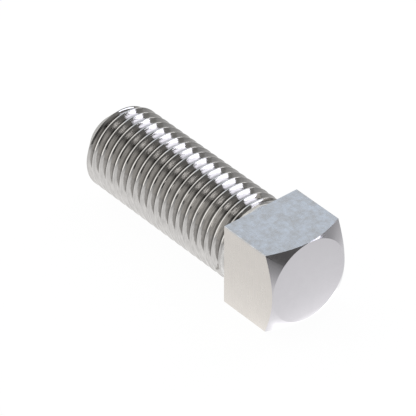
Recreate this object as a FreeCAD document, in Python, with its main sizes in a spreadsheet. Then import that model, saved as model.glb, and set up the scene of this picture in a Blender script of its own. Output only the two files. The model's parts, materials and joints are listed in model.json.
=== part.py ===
import FreeCAD, Part
import os
import Sketcher

# Square head bolt, one solid, in millimetres.
# It lies on one of its flats: +X runs along the axis from the head to the tip, +Z is up.
# The origin is on the axis, in the plane of the bearing face under the head.

os.makedirs("parts", exist_ok=True)
doc = FreeCAD.newDocument("square_head_bolt")

# Driving dimensions
sheet = doc.addObject("Spreadsheet::Sheet", "sizes")
SIZES = [
    ("head_width", "29.7", "across the flats"),
    ("head_height", "23", "bearing face to the flat of the crown"),
    ("crown_diameter", "29.4", "flat disc left on the crown"),
    ("crown_angle", "29", "chamfer of the four corners, from the plane of the crown"),
    ("thread_diameter", "29.9", "over the crests"),
    ("thread_pitch", "3.5", "one turn along the axis"),
    ("thread_angle", "60", "between the two flanks of the groove"),
    ("crest_share", "0.125", "crest flat, as a share of the pitch"),
    ("depth_share", "0.6134", "thread depth, as a share of the pitch"),
    ("collar_length", "1.6", "plain stretch between the bearing face and the thread"),
    ("shank_length", "75", "bearing face to the end of the tip"),
    ("point_diameter", "17", "flat at the end of the tip"),
    ("point_angle", "45", "cone of the tip, from the axis"),
    ("cutter_overlap", "0.2", "how far a cutting profile reaches past the metal"),
]
for row, (alias, value, note) in enumerate(SIZES, start=1):
    sheet.set(f"A{row}", alias)
    sheet.set(f"B{row}", value)
    sheet.set(f"C{row}", note)
    sheet.setAlias(f"B{row}", alias)
doc.recompute()

body = doc.addObject("PartDesign::Body", "bolt")
body.Label = "square_head_bolt"
ORIGIN = (-1, 1)
UPRIGHT_AXIS = (-2,)


def new_sketch(name, plane_role):
    """Start a sketch on one of the body's own origin planes."""
    planes = body.Origin.OriginFeatures
    plane = next(item for item in planes if item.Role == plane_role)
    sketch = body.newObject("Sketcher::SketchObject", name)
    sketch.AttachmentSupport = [(plane, "")]
    sketch.MapMode = "FlatFace"
    return sketch


def draw_outline(sketch, corners):
    """Draw a closed outline. Side n runs from corner n to the next corner."""
    points = [FreeCAD.Vector(along, out, 0) for along, out in corners]
    for start, end in zip(points, points[1:] + points[:1]):
        sketch.addGeometry(Part.LineSegment(start, end), False)
    count = len(points)
    for side in range(count):
        following = (side + 1) % count
        sketch.addConstraint(Sketcher.Constraint("Coincident", side, 2, following, 1))


def fix(sketch, kind, *geometry):
    """Add a constraint that has no size, such as Horizontal."""
    sketch.addConstraint(Sketcher.Constraint(kind, *geometry))


def size(sketch, kind, geometry, first_guess, expression):
    """Add a dimension to a sketch and bind it to the sheet."""
    index = sketch.addConstraint(Sketcher.Constraint(kind, *geometry, first_guess))
    sketch.setExpression(f"Constraints[{index}]", expression)


# Blank of the shank, turned from bar: a cylinder that ends in a cone with a flat
blank = new_sketch("shank_profile", "XZ_Plane")
draw_outline(blank, [(0, 0), (0, 15), (68, 15), (75, 8), (75, 0)])
fix(blank, "Coincident", 0, 1, *ORIGIN)
fix(blank, "Vertical", 0)
fix(blank, "Horizontal", 1)
fix(blank, "Vertical", 3)
fix(blank, "Horizontal", 4)
size(blank, "DistanceY", (0, 1, 0, 2), 15, "sizes.thread_diameter / 2")
size(blank, "DistanceX", (4, 2, 4, 1), 75, "sizes.shank_length")
size(blank, "DistanceY", (3, 2, 3, 1), 8, "sizes.point_diameter / 2")
size(blank, "DistanceX", (2, 1, 2, 2), 7,
     "(sizes.thread_diameter - sizes.point_diameter) / 2 / tan(sizes.point_angle * 1 deg)")
shank = body.newObject("PartDesign::Revolution", "shank")
shank.Profile = blank
shank.ReferenceAxis = (blank, ["H_Axis"])
shank.Angle = 360
doc.recompute()

# Thread: one groove with flat crests and a flat root, cut along a right-hand helix
# It starts a pitch short of the collar's end, so that it is at full depth where the collar
# ends, and it runs out through the cone of the tip. The sketch's own origin is in the middle
# of the groove, on the axis.
HALF_ANGLE = "(sizes.thread_angle * 1 deg / 2)"
GROOVE_DEPTH = "(sizes.depth_share * sizes.thread_pitch)"
groove = new_sketch("groove_profile", "XZ_Plane")
groove.setExpression("AttachmentOffset.Base.x", "sizes.collar_length - sizes.thread_pitch")
draw_outline(groove, [(-1.6, 15.1), (-0.3, 12.8), (0.3, 12.8), (1.6, 15.1)])
fix(groove, "Symmetric", 0, 1, 2, 2, *UPRIGHT_AXIS)
fix(groove, "Symmetric", 0, 2, 2, 1, *UPRIGHT_AXIS)
size(groove, "DistanceY", (*ORIGIN, 1, 1), 12.8,
     f"sizes.thread_diameter / 2 - {GROOVE_DEPTH}")
size(groove, "DistanceY", (1, 1, 0, 1), 2.3, f"{GROOVE_DEPTH} + sizes.cutter_overlap")
size(groove, "DistanceX", (1, 1, 1, 2), 0.6,
     "(1 - sizes.crest_share) * sizes.thread_pitch"
     f" - 2 * {GROOVE_DEPTH} * tan({HALF_ANGLE})")
size(groove, "DistanceX", (0, 1, 0, 2), 1.3,
     f"({GROOVE_DEPTH} + sizes.cutter_overlap) * tan({HALF_ANGLE})")
thread = body.newObject("PartDesign::SubtractiveHelix", "thread")
thread.Profile = groove
thread.ReferenceAxis = (groove, ["H_Axis"])
thread.Mode = "pitch-height-angle"
thread.setExpression("Pitch", "sizes.thread_pitch")
thread.setExpression("Height", "sizes.shank_length + 2 * sizes.thread_pitch")
thread.LeftHanded = False
doc.recompute()

# Collar: the plain stretch under the head, which closes the start of the groove
ring = new_sketch("collar_circle", "YZ_Plane")
ring.addGeometry(Part.Circle(FreeCAD.Vector(0, 0, 0), FreeCAD.Vector(0, 0, 1), 15), False)
fix(ring, "Coincident", 0, 3, *ORIGIN)
size(ring, "Diameter", (0,), 30, "sizes.thread_diameter")
collar = body.newObject("PartDesign::Pad", "collar")
collar.Profile = ring
collar.setExpression("Length", "sizes.collar_length")
doc.recompute()

# Head: a square block on the other side of the bearing face
square = new_sketch("head_square", "YZ_Plane")
draw_outline(square, [(-15, -15), (15, -15), (15, 15), (-15, 15)])
for level in (0, 2):
    fix(square, "Horizontal", level)
for upright in (1, 3):
    fix(square, "Vertical", upright)
fix(square, "Symmetric", 0, 1, 2, 1, *ORIGIN)
size(square, "DistanceX", (0, 1, 0, 2), 30, "sizes.head_width")
size(square, "DistanceY", (1, 1, 1, 2), 30, "sizes.head_width")
head = body.newObject("PartDesign::Pad", "head")
head.Profile = square
head.Reversed = True
head.setExpression("Length", "sizes.head_height")
doc.recompute()

# Crown: a cone turned off the four corners, which leaves a round flat on the head
# The sketch's own origin is on the axis, in the plane of that flat.
CORNER_RADIUS = "(sizes.head_width / sqrt(2))"
CROWN_SLOPE = "tan(sizes.crown_angle * 1 deg)"
corner_cut = new_sketch("crown_profile", "XZ_Plane")
corner_cut.setExpression("AttachmentOffset.Base.x", "-sizes.head_height")
draw_outline(corner_cut, [(-0.2, 14.3), (-0.2, 21.2), (3.6, 21.2)])
fix(corner_cut, "Vertical", 0)
fix(corner_cut, "Horizontal", 1)
size(corner_cut, "DistanceX", (0, 1, *ORIGIN), 0.2, "sizes.cutter_overlap")
size(corner_cut, "DistanceY", (*ORIGIN, 0, 1), 14.3,
     f"sizes.crown_diameter / 2 - sizes.cutter_overlap / {CROWN_SLOPE}")
size(corner_cut, "DistanceY", (*ORIGIN, 1, 1), 21.2,
     f"{CORNER_RADIUS} + sizes.cutter_overlap")
size(corner_cut, "DistanceX", (1, 1, 1, 2), 3.8,
     f"({CORNER_RADIUS} + sizes.cutter_overlap - sizes.crown_diameter / 2) * {CROWN_SLOPE}"
     " + sizes.cutter_overlap")
crown = body.newObject("PartDesign::Groove", "crown")
crown.Profile = corner_cut
crown.ReferenceAxis = (corner_cut, ["H_Axis"])
crown.Angle = 360
doc.recompute()

# Every step is sound, and each one has added or removed metal as it should
for item in doc.Objects:
    if "Invalid" in item.State or "Error" in item.State:
        raise RuntimeError(f"{item.Name} failed: {item.State}")
for before, after, adds in ((shank, thread, False), (thread, collar, True),
                            (collar, head, True), (head, crown, False)):
    if (after.Shape.Volume > before.Shape.Volume) != adds:
        raise RuntimeError(f"{after.Name} did not change the metal as it should")
bolt = body.Shape
if bolt.isNull() or not bolt.isValid() or len(bolt.Solids) != 1:
    raise RuntimeError("the bolt is not one valid solid")

bolt.exportStep(f"parts/{body.Label}.step")
print(f"{body.Label}: {bolt.Volume:.1f} mm3, {len(bolt.Faces)} faces")
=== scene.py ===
import json
import math

import bmesh
import bpy
from mathutils import Matrix, Vector


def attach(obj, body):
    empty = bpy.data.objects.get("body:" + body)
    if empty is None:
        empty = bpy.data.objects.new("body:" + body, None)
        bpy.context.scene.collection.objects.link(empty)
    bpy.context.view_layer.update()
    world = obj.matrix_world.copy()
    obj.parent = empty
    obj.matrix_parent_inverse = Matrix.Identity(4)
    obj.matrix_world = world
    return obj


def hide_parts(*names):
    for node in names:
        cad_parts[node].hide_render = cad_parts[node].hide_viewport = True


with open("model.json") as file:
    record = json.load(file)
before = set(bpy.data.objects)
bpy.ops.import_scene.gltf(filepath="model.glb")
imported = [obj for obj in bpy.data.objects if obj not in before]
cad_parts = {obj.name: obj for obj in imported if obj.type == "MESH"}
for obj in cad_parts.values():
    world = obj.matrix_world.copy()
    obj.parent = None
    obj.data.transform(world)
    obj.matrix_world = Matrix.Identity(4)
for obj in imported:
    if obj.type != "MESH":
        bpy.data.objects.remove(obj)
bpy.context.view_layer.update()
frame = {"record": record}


# Bolt
# The real piece is one bar of steel. The square head is milled, its crown and the cone of the tip
# are turned, and the thread is rolled. Here it is drawn as outlines in half planes through the
# axis, one every two degrees or so, which are then joined to a closed skin.

# Sizes that the record gives come from its mounts, and the others are the part's own
MM = 0.001
mounts = {mount["name"]: mount for mount in frame["record"]["mounts"]}
HEAD_HEIGHT = -mounts["crown_face"]["pos_m"][0]
HEAD_HALF_WIDTH = mounts["wrench_flat_top"]["pos_m"][2]
THREAD_RADIUS = mounts["thread"]["dims"]["r_mm"] * MM
SHANK_LENGTH = mounts["tip_face"]["pos_m"][0]
CROWN_RADIUS = 14.7 * MM
CROWN_SLOPE = math.tan(math.radians(29))
COLLAR_LENGTH = 1.6 * MM
POINT_RADIUS = 8.5 * MM
CONE_START = SHANK_LENGTH - (THREAD_RADIUS - POINT_RADIUS)

PITCH = 3.5 * MM
THREAD_DEPTH = 0.6134 * PITCH
CREST_WIDTH = PITCH / 8
FLANK_ANGLE = math.radians(30)
CREST_BREAK = 0.08 * MM
ROOT_ROUND = 0.5 * MM

# The small radii that the cutters leave on the other edges
CORNER_BREAK = 0.2 * MM
CROWN_EDGE_BREAK = 0.04 * MM
HEAD_EDGE_BREAK = 0.05 * MM
TIP_EDGE_BREAK = 0.3 * MM


def round_corners(corners, segments=4):
    """Turn (x, r, radius) corners into the points of an outline, with an arc at each corner."""
    points = []
    for index, (x, r, radius) in enumerate(corners):
        here = Vector((x, r))
        if index in (0, len(corners) - 1) or radius == 0:
            points.append(here)
            continue
        to_last = Vector(corners[index - 1][:2]) - here
        to_next = Vector(corners[index + 1][:2]) - here
        half = (math.pi - to_last.angle(to_next, math.pi)) / 2
        # An arc takes under half of a side, so that the next corner has room too
        room = 0.49 * min(to_last.length, to_next.length)
        reach = min(radius * math.tan(half), room)
        start = here + to_last.normalized() * reach
        end = here + to_next.normalized() * reach
        inward = (to_last.normalized() + to_next.normalized()).normalized()
        bow = reach / math.tan(half) if half > 1e-6 else 0
        middle = here + inward * math.hypot(bow, reach)
        sweep = (start - middle).angle_signed(end - middle, 0)
        for step in range(segments + 1):
            points.append(middle + Matrix.Rotation(-sweep * step / segments, 2) @ (start - middle))
    return points


def head_radius(angle):
    """How far the head reaches from the axis in this direction: a square with broken corners."""
    from_flat = abs((angle + math.pi / 4) % (math.pi / 2) - math.pi / 4)
    from_corner = math.pi / 4 - from_flat
    arc_middle = (HEAD_HALF_WIDTH - CORNER_BREAK) * math.sqrt(2)
    across = arc_middle * math.sin(from_corner)
    if from_flat < math.atan2(HEAD_HALF_WIDTH - CORNER_BREAK, HEAD_HALF_WIDTH):
        return HEAD_HALF_WIDTH / math.cos(from_flat)
    return arc_middle * math.cos(from_corner) + math.sqrt(CORNER_BREAK ** 2 - across ** 2)


# One turn of the thread, from the middle of a crest to the middle of the next
half_crest = CREST_WIDTH / 2
flank_run = THREAD_DEPTH * math.tan(FLANK_ANGLE)
one_turn = round_corners([
    (0, THREAD_RADIUS, 0),
    (half_crest, THREAD_RADIUS, CREST_BREAK),
    (half_crest + flank_run, THREAD_RADIUS - THREAD_DEPTH, ROOT_ROUND),
    (PITCH - half_crest - flank_run, THREAD_RADIUS - THREAD_DEPTH, ROOT_ROUND),
    (PITCH - half_crest, THREAD_RADIUS, CREST_BREAK),
    (PITCH, THREAD_RADIUS, 0),
])[:-1]
# At +Z, a quarter turn on from +Y, the middle of the first groove lies at GROOVE_START. The
# crest before it lies half a pitch back there, and at +Y it is a quarter pitch further back.
GROOVE_START = COLLAR_LENGTH - PITCH
CREST_START = GROOVE_START - PITCH / 2 - PITCH / 4


def thread_point(row, angle):
    """Place along the axis and radius of one row of the thread, in this direction."""
    turn, step = divmod(row, len(one_turn))
    x, r = one_turn[step]
    return Vector((CREST_START + x + PITCH * (turn + angle / (2 * math.pi)), r))


def cone(x):
    """Radius of the turned blank at x."""
    return min(THREAD_RADIUS, POINT_RADIUS + SHANK_LENGTH - x)


def head_outline(angle):
    """Outline of the head, from the middle of the crown to the collar, as (row, (x, r))."""
    reach = head_radius(angle)
    chamfer_x = -HEAD_HEIGHT + (reach - CROWN_RADIUS) * CROWN_SLOPE
    points = round_corners([
        (-HEAD_HEIGHT, 0, 0),
        (-HEAD_HEIGHT, CROWN_RADIUS, CROWN_EDGE_BREAK),
        (chamfer_x, reach, HEAD_EDGE_BREAK),
        (0, reach, HEAD_EDGE_BREAK),
        (0, THREAD_RADIUS, 0),
    ])
    return list(enumerate(points))


# Row numbers that come before and after every row of the thread
COLLAR_ROWS = -2
TIP_ROWS = 10000


def shank_outline(angle):
    """Outline of the collar, the thread and the tip in this direction, as (row, (x, r))."""
    row = 0
    while thread_point(row + 1, angle).x <= COLLAR_LENGTH:
        row += 1
    here, there = thread_point(row, angle), thread_point(row + 1, angle)
    share = (COLLAR_LENGTH - here.x) / (there.x - here.x)
    points = [(COLLAR_ROWS, Vector((0, THREAD_RADIUS))),
              (COLLAR_ROWS + 1, Vector((COLLAR_LENGTH, THREAD_RADIUS))),
              (row + share, here.lerp(there, share))]
    last_x = SHANK_LENGTH - (THREAD_RADIUS - THREAD_DEPTH - POINT_RADIUS)
    while there.x < last_x:
        row += 1
        points.append((row, Vector((there.x, min(there.y, cone(there.x))))))
        here, there = there, thread_point(row + 1, angle)
        above, below = here.y - cone(here.x), there.y - cone(there.x)
        if above * below < 0:
            share = above / (above - below)
            points.append((row + share, here.lerp(there, share)))
    tip = round_corners([
        (CONE_START, THREAD_RADIUS, 0),
        (SHANK_LENGTH, POINT_RADIUS, TIP_EDGE_BREAK),
        (SHANK_LENGTH, 0, 0),
    ])[1:]
    return points + [(TIP_ROWS + step, point) for step, point in enumerate(tip)]


def skin(form, outlines, angles, seams):
    """Join each outline to the next, row by row. Its last point turns to the seam's angle."""
    rings = []
    for outline, angle, seam in zip(outlines, angles, seams):
        turns = [angle] * (len(outline) - 1) + [seam]
        rings.append([form.verts.new((x, r * math.cos(turn), r * math.sin(turn)))
                      for (row, (x, r)), turn in zip(outline, turns)])
    rings.append(rings[0])
    for near, far, near_points, far_points in zip(outlines, outlines[1:], rings, rings[1:]):
        # Step along whichever outline comes to its next row first, or along both
        a = b = 0
        while a + 1 < len(near) or b + 1 < len(far):
            next_near = near[a + 1][0] if a + 1 < len(near) else math.inf
            next_far = far[b + 1][0] if b + 1 < len(far) else math.inf
            corners = [near_points[a], far_points[b]]
            if next_far <= next_near:
                b += 1
                corners.insert(1, far_points[b])
            if next_near <= next_far:
                a += 1
                corners.insert(1, near_points[a])
            form.faces.new(corners)


# The half planes are evenly spaced, with a few more on the broken corners of the head
STEPS_A_TURN = 192
CORNER_STEPS = 4
SAME_POINT = 0.0005 * MM
step_angle = 2 * math.pi / STEPS_A_TURN
even_angles = [step_angle * step for step in range(STEPS_A_TURN)]
head_angles = set(even_angles)
for corner in range(4):
    for step in range(CORNER_STEPS + 1):
        sweep = math.pi / 2 * step / CORNER_STEPS
        along = HEAD_HALF_WIDTH - CORNER_BREAK * (1 - math.cos(sweep))
        across = HEAD_HALF_WIDTH - CORNER_BREAK * (1 - math.sin(sweep))
        head_angles.add(round(corner * math.pi / 2 + math.atan2(across, along), 9))
head_angles = sorted(head_angles)
nearest_even = [step_angle * round(angle / step_angle) for angle in head_angles]

form = bmesh.new()
heads = [head_outline(angle) for angle in head_angles]
skin(form, heads + heads[:1], head_angles, nearest_even)
# Once round the axis, a row of the thread meets the row one turn further on
shanks = [shank_outline(angle) for angle in even_angles]
first_again = [(row - len(one_turn) if 0 <= row < TIP_ROWS else row, point)
               for row, point in shanks[0]]
skin(form, shanks + [first_again], even_angles, even_angles)
bmesh.ops.remove_doubles(form, verts=form.verts, dist=SAME_POINT)
bmesh.ops.recalc_face_normals(form, faces=form.faces)
mesh = bpy.data.meshes.new("square_head_bolt_steel")
form.to_mesh(mesh)
form.free()
bolt = bpy.data.objects.new("square_head_bolt_steel", mesh)
bpy.context.scene.collection.objects.link(bolt)
weighted = bolt.modifiers.new("weighted_normals", "WEIGHTED_NORMAL")
weighted.keep_sharp = True
weighted.weight = 90


def linear(code):
    """Turn an sRGB hex colour into the linear values that a shader takes."""
    values = [int(code[place:place + 2], 16) / 255 for place in (1, 3, 5)]
    return [v / 12.92 if v <= 0.04045 else ((v + 0.055) / 1.055) ** 2.4 for v in values] + [1.0]


def add_node(tree, kind, inputs=None, give=None, stops=None, **settings):
    """Add a shader node and return one output: the named one, or else the first in use.

    An input is a value or another node's output. The stops of a ramp are (place, grey) pairs.
    """
    node = tree.nodes.new("ShaderNode" + kind)
    for name, value in settings.items():
        setattr(node, name, value)
    for name, value in (inputs or {}).items():
        socket = node.inputs[name] if isinstance(name, int) else next(
            socket for socket in node.inputs if socket.name == name and socket.enabled)
        if isinstance(value, bpy.types.NodeSocket):
            tree.links.new(value, socket)
        else:
            socket.default_value = value
    for index, (place, grey) in enumerate(stops or []):
        points = node.color_ramp.elements
        point = points[index] if index < 2 else points.new(place)
        point.position = place
        point.color = (grey, grey, grey, 1)
    if give:
        return node.outputs[give]
    return next((output for output in node.outputs if output.enabled), None)


def new_material(name):
    """An empty node material."""
    material = bpy.data.materials.new(name)
    material.use_nodes = True
    material.node_tree.nodes.clear()
    return material, material.node_tree


# Between these values lies nearly all of a noise texture
NOISE_LOW, NOISE_HIGH = 0.3, 0.7

# Milled steel, the four flats and the bearing face. To the eye it is satin: it mirrors the light
# and the dark around it with soft edges and has faint cutter lines across the flat. On the upper
# flat a painted reflection and painted shade are laid into the colour: a cooler, bluer tone for
# the daylight it mirrors, and darker clouds for its uneven sheen. The clouds are about 2.3 mm
# wide. The cutter lines are 0.1 mm apart in the real one and drawn 0.5 mm apart, so that they show.
CLOUD_WIDTH = 2.3 * MM
LINE_SPACING, LINE_LENGTH = 0.5 * MM, 9 * MM
# Heights above the axis between which the painted tint and painted shade of the upper flat, and
# the bump of its clouds, grow from a trace to their full weight
PAINTED_TOP_FAINT, PAINTED_TOP_FULL = 14.3 * MM, 14.8 * MM
milled, tree = new_material("milled_steel_satin")
place = add_node(tree, "TexCoord", give="Object")
cloud_place = add_node(tree, "VectorMath", {0: place, 1: [1 / CLOUD_WIDTH] * 3}, operation="MULTIPLY")
cloud = add_node(tree, "TexNoise", {"Vector": cloud_place, "Scale": 1.0, "Detail": 5.0,
                                    "Roughness": 0.68})
streak_place = add_node(tree, "VectorMath", {
    0: place, 1: (1 / LINE_SPACING, 1 / LINE_LENGTH, 1 / LINE_LENGTH)}, operation="MULTIPLY")
streak = add_node(tree, "TexNoise", {"Vector": streak_place, "Scale": 1.0, "Detail": 2.0})
up = add_node(tree, "SeparateXYZ", {"Vector": place}, give="Z")
on_top = add_node(tree, "MapRange", {"Value": up, "From Min": PAINTED_TOP_FAINT, "From Max": PAINTED_TOP_FULL,
                                     "To Min": 0.12, "To Max": 1.0})
# Painted shade: darker clouds on the upper flat, for the uneven sheen it mirrors
painted_mottle = add_node(tree, "MapRange", {"Value": cloud, "From Min": NOISE_LOW, "From Max": NOISE_HIGH})
painted_shade = add_node(tree, "Math", {0: painted_mottle, 1: on_top}, operation="MULTIPLY")
waves = add_node(tree, "Math", {0: cloud, 1: on_top}, operation="MULTIPLY")
relief = add_node(tree, "Math", {0: streak, 1: 0.02, 2: waves}, operation="MULTIPLY_ADD")
bump = add_node(tree, "Bump", {"Height": relief, "Distance": 0.05 * MM})
# Painted reflection: the upper flat takes a cooler, bluer colour for the daylight it mirrors
out_of_painted_shade = add_node(tree, "Mix", {"Factor": on_top, "A": linear("#D7D1CA"), "B": linear("#C8CCD2")},
                 data_type="RGBA")
tone = add_node(tree, "Mix", {"Factor": painted_shade, "A": out_of_painted_shade, "B": linear("#B1AEAB")},
                data_type="RGBA")
blur = add_node(tree, "MapRange", {"Value": streak, "From Min": NOISE_LOW, "From Max": NOISE_HIGH,
                                   "To Min": 0.26, "To Max": 0.31})
steel = add_node(tree, "BsdfPrincipled", {
    "Base Color": tone, "Metallic": 1.0, "Roughness": blur, "Normal": bump})
add_node(tree, "OutputMaterial", {"Surface": steel})

# Turned steel, the round flat of the crown and the chamfered corners. To the eye it is smoother
# and cooler than the flats, with rings from the turning tool. The real rings are the feed of the
# tool, about 0.1 mm apart, and are drawn 0.35 mm apart, so that they show.
RING_SPACING = 0.35 * MM
PATCH_WIDTH = 2.5 * MM
turned, tree = new_material("turned_steel_smooth")
place = add_node(tree, "TexCoord", give="Object")
square_to_axis = add_node(tree, "VectorMath", {0: place, 1: (0, 1, 1)}, operation="MULTIPLY")
radius = add_node(tree, "VectorMath", {0: square_to_axis}, operation="LENGTH")
ring_place = add_node(tree, "Math", {0: radius, 1: 1 / RING_SPACING}, operation="MULTIPLY")
rings = add_node(tree, "TexNoise", {"W": ring_place, "Scale": 1.0, "Detail": 2.0},
                 noise_dimensions="1D")
cloud_place = add_node(tree, "VectorMath", {0: place, 1: [1 / PATCH_WIDTH] * 3}, operation="MULTIPLY")
cloud = add_node(tree, "TexNoise", {"Vector": cloud_place, "Scale": 1.0, "Detail": 3.0})
bump = add_node(tree, "Bump", {"Height": rings, "Distance": 0.003 * MM})
tone = add_node(tree, "Mix", {"Factor": cloud, "A": linear("#C7C5C9"), "B": linear("#CECCD0")},
                data_type="RGBA")
blur = add_node(tree, "MapRange", {"Value": cloud, "From Min": NOISE_LOW, "From Max": NOISE_HIGH,
                                   "To Min": 0.13, "To Max": 0.2})
steel = add_node(tree, "BsdfPrincipled", {
    "Base Color": tone, "Metallic": 1.0, "Roughness": blur, "Normal": bump})
add_node(tree, "OutputMaterial", {"Surface": steel})

# Rolled steel, the thread and the collar. To the eye it is the brightest: the dies press it
# nearly to a mirror and leave fine scratches that run round with the thread. Its colour is
# painted darker in the root, as painted shade for the deep groove. The scratches are a few
# hundredths of a millimetre wide in the real one and drawn 0.5 mm wide and 3 mm long, with dents
# of 0.9 mm among them, so that they show.
# Radii between which the painted shade of the root fades out, from the root up
ROOT_SHADE_FULL, ROOT_SHADE_ENDS = THREAD_RADIUS - 1.9 * MM, THREAD_RADIUS - 1.3 * MM
rolled, tree = new_material("rolled_steel_bright")
place = add_node(tree, "TexCoord", give="Object")
square_to_axis = add_node(tree, "VectorMath", {0: place, 1: (0, 1, 1)}, operation="MULTIPLY")
radius = add_node(tree, "VectorMath", {0: square_to_axis}, operation="LENGTH")
outward = add_node(tree, "VectorMath", {0: square_to_axis}, operation="NORMALIZE")
along_axis = add_node(tree, "SeparateXYZ", {"Vector": place}, give="X")


def scratches(long_mm, deep_mm, wide_mm, detail):
    """Noise drawn out round the axis: marks this long round it, this deep and this wide."""
    times_round = THREAD_RADIUS / (long_mm * MM)
    ring = add_node(tree, "VectorMath", {0: outward, 1: (1, times_round, times_round)},
                    operation="MULTIPLY")
    depth = add_node(tree, "Math", {0: radius, 1: 1 / (deep_mm * MM)}, operation="MULTIPLY")
    lift = add_node(tree, "CombineXYZ", {"X": depth})
    where = add_node(tree, "VectorMath", {0: ring, 1: lift}, operation="ADD")
    width = add_node(tree, "Math", {0: along_axis, 1: 1 / (wide_mm * MM)}, operation="MULTIPLY")
    return add_node(tree, "TexNoise", {"Vector": where, "W": width, "Scale": 1.0,
                                       "Detail": detail}, noise_dimensions="4D")


lines = scratches(long_mm=3.0, deep_mm=0.3, wide_mm=0.5, detail=3.0)
dents = scratches(long_mm=0.9, deep_mm=0.5, wide_mm=0.6, detail=3.0)
relief = add_node(tree, "Math", {0: dents, 1: 0.35, 2: lines}, operation="MULTIPLY_ADD")
bump = add_node(tree, "Bump", {"Height": relief, "Distance": 0.013 * MM})
# Painted shade: the colour darkens towards the root of the thread
out_of_painted_shade = add_node(tree, "MapRange", {
    "Value": radius, "From Min": ROOT_SHADE_FULL, "From Max": ROOT_SHADE_ENDS},
    interpolation_type="SMOOTHSTEP")
painted_shade = add_node(tree, "Mix", {"Factor": out_of_painted_shade, "A": linear("#8C8A88"), "B": linear("#C4C2C0")},
                data_type="RGBA")
wear = add_node(tree, "MapRange", {"Value": lines, "From Min": NOISE_LOW, "From Max": NOISE_HIGH,
                                   "To Min": 0.83, "To Max": 1.11})
tone = add_node(tree, "VectorMath", {0: painted_shade, 1: wear}, operation="MULTIPLY")
blur = add_node(tree, "MapRange", {"Value": dents, "From Min": NOISE_LOW, "From Max": NOISE_HIGH,
                                   "To Min": 0.04, "To Max": 0.1})
steel = add_node(tree, "BsdfPrincipled", {
    "Base Color": tone, "Metallic": 1.0, "Roughness": blur, "Normal": bump})
add_node(tree, "OutputMaterial", {"Surface": steel})

# Turned steel left as it comes off the tool, the cone and the end of the tip. To the eye it is
# greyer and duller than the rest. The tool's marks are 0.1 mm apart in the real one and drawn
# 0.3 mm apart, so that they show.
MARK_SPACING, MARK_LENGTH = 0.3 * MM, 3 * MM
dull, tree = new_material("turned_steel_dull")
place = add_node(tree, "TexCoord", give="Object")
grain_place = add_node(tree, "VectorMath", {
    0: place, 1: (1 / MARK_SPACING, 1 / MARK_LENGTH, 1 / MARK_LENGTH)}, operation="MULTIPLY")
grain = add_node(tree, "TexNoise", {"Vector": grain_place, "Scale": 1.0, "Detail": 3.0})
bump = add_node(tree, "Bump", {"Height": grain, "Distance": 0.01 * MM})
tone = add_node(tree, "Mix", {"Factor": grain, "A": linear("#97958F"), "B": linear("#AAA8A4")},
                data_type="RGBA")
blur = add_node(tree, "MapRange", {"Value": grain, "From Min": NOISE_LOW, "From Max": NOISE_HIGH,
                                   "To Min": 0.3, "To Max": 0.42})
steel = add_node(tree, "BsdfPrincipled", {
    "Base Color": tone, "Metallic": 1.0, "Roughness": blur, "Normal": bump})
add_node(tree, "OutputMaterial", {"Surface": steel})

# Each face takes the finish of the tool that made it
MILLED, TURNED, ROLLED, DULL = range(4)
NEAR_SURFACE = 0.03 * MM
for material in (milled, turned, rolled, dull):
    mesh.materials.append(material)
for face in mesh.polygons:
    face.use_smooth = True
    face.material_index = MILLED
    middle = face.center
    from_axis = math.hypot(middle.y, middle.z)
    on_crown = face.normal.x < -0.5 and middle.x < -HEAD_HEIGHT / 2
    near_cone = middle.x > CONE_START and from_axis > cone(middle.x) - NEAR_SURFACE
    on_end = middle.x > SHANK_LENGTH - NEAR_SURFACE / 3
    if on_end or near_cone and face.normal.x > 0.4:
        face.material_index = DULL
    elif middle.x > 0:
        face.material_index = ROLLED
    elif on_crown:
        face.material_index = TURNED

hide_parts("square_head_bolt")
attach(bolt, "root")


# Table
# A plain white table that the bolt lies on. It shines a little: brightest right beside the
# metal, and less further off, which is what the flats and the thread mirror. In the picture it
# is white and keeps a trace of the bolt's shadow.

TABLE_HALF_SIDE = 3.0
SHARE_OF_SHINE = 0.93
PICTURE_WHITE = 1.035
table_mesh = bpy.data.meshes.new("table")
side, level = TABLE_HALF_SIDE, -THREAD_RADIUS
table_mesh.from_pydata([(-side, -side, level), (side, -side, level),
                        (side, side, level), (-side, side, level)], [], [(0, 1, 2, 3)])
table = bpy.data.objects.new("table", table_mesh)
bpy.context.scene.collection.objects.link(table)

# White paper on the table, lit from below as on a light table. To the eye it is plain white.
paper, tree = new_material("white_paper_lit")
place = add_node(tree, "TexCoord", give="Object")


def distance_beside(x_range, y_range):
    """How far a point of the table is from this rectangle on it."""
    middle = (sum(x_range) / 2, sum(y_range) / 2, level)
    half = ((x_range[1] - x_range[0]) / 2, (y_range[1] - y_range[0]) / 2, 0.1)
    offset = add_node(tree, "VectorMath", {0: place, 1: middle}, operation="SUBTRACT")
    size = add_node(tree, "VectorMath", {0: offset}, operation="ABSOLUTE")
    beyond = add_node(tree, "VectorMath", {0: size, 1: half}, operation="SUBTRACT")
    outside = add_node(tree, "VectorMath", {0: beyond, 1: (0, 0, 0)}, operation="MAXIMUM")
    return add_node(tree, "VectorMath", {0: outside}, operation="LENGTH")


# The ramps hold half of the brightness, because a ramp ends at 1
# The first falls off with the distance from the bolt, up to FAR metres
FAR = 0.3
from_bolt = distance_beside((-HEAD_HEIGHT, SHANK_LENGTH), (-HEAD_HALF_WIDTH, HEAD_HALF_WIDTH))
far_share = add_node(tree, "Math", {0: from_bolt, 1: 1 / FAR}, operation="MULTIPLY")
far_half = add_node(tree, "ValToRGB", {"Fac": far_share}, stops=[
    (0, 0.6), (0.006 / FAR, 0.56), (0.012 / FAR, 0.52), (0.02 / FAR, 0.495), (0.038 / FAR, 0.455),
    (0.065 / FAR, 0.345), (0.145 / FAR, 0.235), (1, 0.19)])
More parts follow.
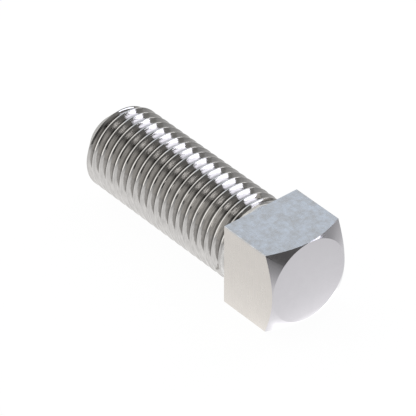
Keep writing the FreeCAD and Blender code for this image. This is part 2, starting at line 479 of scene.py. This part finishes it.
# The second brightens a spot under the crown and fades out NEAR metres beside it
NEAR = 0.03
from_crown = distance_beside((-0.022, -0.016), (-0.0145, 0.0115))
near_share = add_node(tree, "Math", {0: from_crown, 1: 1 / NEAR}, operation="MULTIPLY")
near_half = add_node(tree, "ValToRGB", {"Fac": near_share}, stops=[
    (0, 0.88), (0.0015 / NEAR, 0.66), (0.003 / NEAR, 0.545), (0.008 / NEAR, 0.505), (1, 0.5)])
quarter = add_node(tree, "Math", {0: far_half, 1: near_half}, operation="MULTIPLY")
mirrored = add_node(tree, "Math", {0: quarter, 1: 4.0}, operation="MULTIPLY")
# Far off on the left the paper is brighter again, which the lower side of the thread mirrors
to_left = add_node(tree, "VectorMath", {0: place, 1: (0.5, 1, 0)}, operation="DOT_PRODUCT",
                   give="Value")
left_level = add_node(tree, "MapRange", {
    "Value": to_left, "From Min": 0.05, "From Max": 0.2, "To Min": 1.0, "To Max": 2.3})
mirrored = add_node(tree, "Math", {0: mirrored, 1: left_level}, operation="MULTIPLY")
by_camera = add_node(tree, "LightPath", give="Is Camera Ray")
by_metal = add_node(tree, "LightPath", give="Is Glossy Ray")
by_glass = add_node(tree, "LightPath", give="Is Transmission Ray")
seen = add_node(tree, "Math", {0: by_camera, 1: by_metal}, operation="MAXIMUM")
seen = add_node(tree, "Math", {0: seen, 1: by_glass}, operation="MAXIMUM")
shine_share = add_node(tree, "Math", {0: seen, 1: SHARE_OF_SHINE}, operation="MULTIPLY")
strength = add_node(tree, "Mix", {"Factor": by_camera, "A": mirrored, "B": PICTURE_WHITE})
plain = add_node(tree, "BsdfDiffuse", {"Color": linear("#F6F6F6")})
shine = add_node(tree, "Emission", {"Color": (1, 1, 1, 1), "Strength": strength})
both = add_node(tree, "MixShader", {0: shine_share, 1: plain, 2: shine})
add_node(tree, "OutputMaterial", {"Surface": both})
table_mesh.materials.append(paper)


# Light
# A plain studio: a big pale wall beyond the tip, a darker room on the head's side, one softbox
# over the right side of the thread, a low one off the right corner of the head and a narrow
# strip overhead. Left and right are as seen from the head.

world = bpy.data.worlds.new("studio")
bpy.context.scene.world = world
world.use_nodes = True
tree = world.node_tree
tree.nodes.clear()
direction = add_node(tree, "TexCoord", give="Generated")
towards_tip = add_node(tree, "SeparateXYZ", {"Vector": direction}, give="X")
towards_left = add_node(tree, "SeparateXYZ", {"Vector": direction}, give="Y")
along = add_node(tree, "MapRange", {"Value": towards_tip, "From Min": -1.0, "From Max": 1.0})
wall = add_node(tree, "ValToRGB", {"Fac": along}, stops=[(0.65, 0), (0.76, 0.66), (1, 0.7)])
rest = add_node(tree, "ValToRGB", {"Fac": along}, stops=[
    (0, 0.09), (0.05, 0.13), (0.2, 0.24), (0.65, 0.29), (1, 0.29)])
wall_level = add_node(tree, "MapRange", {
    "Value": towards_left, "From Min": -0.4, "From Max": 0.0, "To Min": 1.08, "To Max": 1.55})
lit_wall = add_node(tree, "Math", {0: wall, 1: wall_level}, operation="MULTIPLY")
# The rest of the room is darkest in a band left of overhead, under a beam of the ceiling.
# Its ramp holds a quarter of the level.
across = add_node(tree, "MapRange", {"Value": towards_left, "From Min": -1.0, "From Max": 1.0})
quarter = add_node(tree, "ValToRGB", {"Fac": across}, stops=[
    (0, 0.27), (0.3, 0.27), (0.5, 0.33), (0.56, 0.27), (0.62, 0.1), (0.7, 0.08), (0.75, 0.34),
    (0.8, 0.5), (0.92, 0.55), (1, 0.9)])
rest_level = add_node(tree, "Math", {0: quarter, 1: 4.0}, operation="MULTIPLY")
lit_rest = add_node(tree, "Math", {0: rest, 1: rest_level}, operation="MULTIPLY")
room = add_node(tree, "Math", {0: lit_wall, 1: lit_rest}, operation="ADD")
# The patch of cool daylight that the upper flat of the head mirrors
TOWARDS_WINDOW = (0.611, -0.512, 0.604)
to_window = add_node(tree, "VectorMath", {0: direction, 1: TOWARDS_WINDOW},
                     operation="DOT_PRODUCT")
in_window = add_node(tree, "MapRange", {"Value": to_window, "From Min": 0.88, "From Max": 0.98})
window_level = add_node(tree, "MapRange", {"Value": in_window, "To Min": 1.0, "To Max": 1.04})
room = add_node(tree, "Math", {0: room, 1: window_level}, operation="MULTIPLY")
tint = add_node(tree, "Mix", {"Factor": in_window, "A": linear("#FFFEFB"),
                              "B": linear("#EAF2FB")}, data_type="RGBA")
colour = add_node(tree, "VectorMath", {0: tint, 1: room}, operation="MULTIPLY")
background = add_node(tree, "Background", {"Color": colour, "Strength": 1.0})
add_node(tree, "OutputWorld", {"Surface": background})


def add_softbox(name, towards, distance, width, height, radiance, colour):
    """Aim a softbox at the middle of the bolt. Towards points from the bolt to the lamp."""
    lamp = bpy.data.lights.new(name, "AREA")
    lamp.shape = "RECTANGLE"
    lamp.size = width
    lamp.size_y = height
    lamp.energy = radiance * math.pi * width * height
    lamp.color = linear(colour)[:3]
    towards = Vector(towards).normalized()
    softbox = bpy.data.objects.new(name, lamp)
    softbox.location = Vector((SHANK_LENGTH / 3, 0, 0)) + towards * distance
    softbox.rotation_euler = towards.to_track_quat("Z", "Y").to_euler()
    bpy.context.scene.collection.objects.link(softbox)


add_softbox("softbox_right", (0.135, -0.738, 0.661), 1.0, 0.3, 0.78, 3.3, "#ECEFFF")
add_softbox("softbox_low_front", (-0.75, -0.638, 0.17), 0.8, 0.28, 0.15, 2.6, "#F2F3FF")
add_softbox("strip_overhead", (0.34, 0.05, 0.94), 1.0, 0.5, 0.045, 1.6, "#FFFFFF")


# Camera
# A long lens that looks down on the head's crown, with the bolt's tip to the upper left. The
# numbers are fitted to the outline of the bolt in the photograph.

AZIMUTH = math.radians(230.05)
ELEVATION = math.radians(37.16)
DISTANCE = 1.104
LENS_MM = 305.7
SHIFT_LEFT = 0.01635
SHIFT_UP = 0.01169
back = Vector((math.sin(AZIMUTH) * math.cos(ELEVATION),
               -math.cos(AZIMUTH) * math.cos(ELEVATION), math.sin(ELEVATION)))
right = Vector((math.cos(AZIMUTH), math.sin(AZIMUTH), 0))
upward = back.cross(right)
camera_data = bpy.data.cameras.new("camera")
camera_data.lens = LENS_MM
camera_data.sensor_width = 36
camera = bpy.data.objects.new("camera", camera_data)
camera.matrix_world = Matrix((
    (right.x, upward.x, back.x, 0), (right.y, upward.y, back.y, 0),
    (right.z, upward.z, back.z, 0), (0, 0, 0, 1)))
camera.location = back * DISTANCE - right * SHIFT_LEFT + upward * SHIFT_UP
bpy.context.scene.collection.objects.link(camera)
bpy.context.scene.camera = camera
bpy.context.scene.view_settings.view_transform = "Standard"
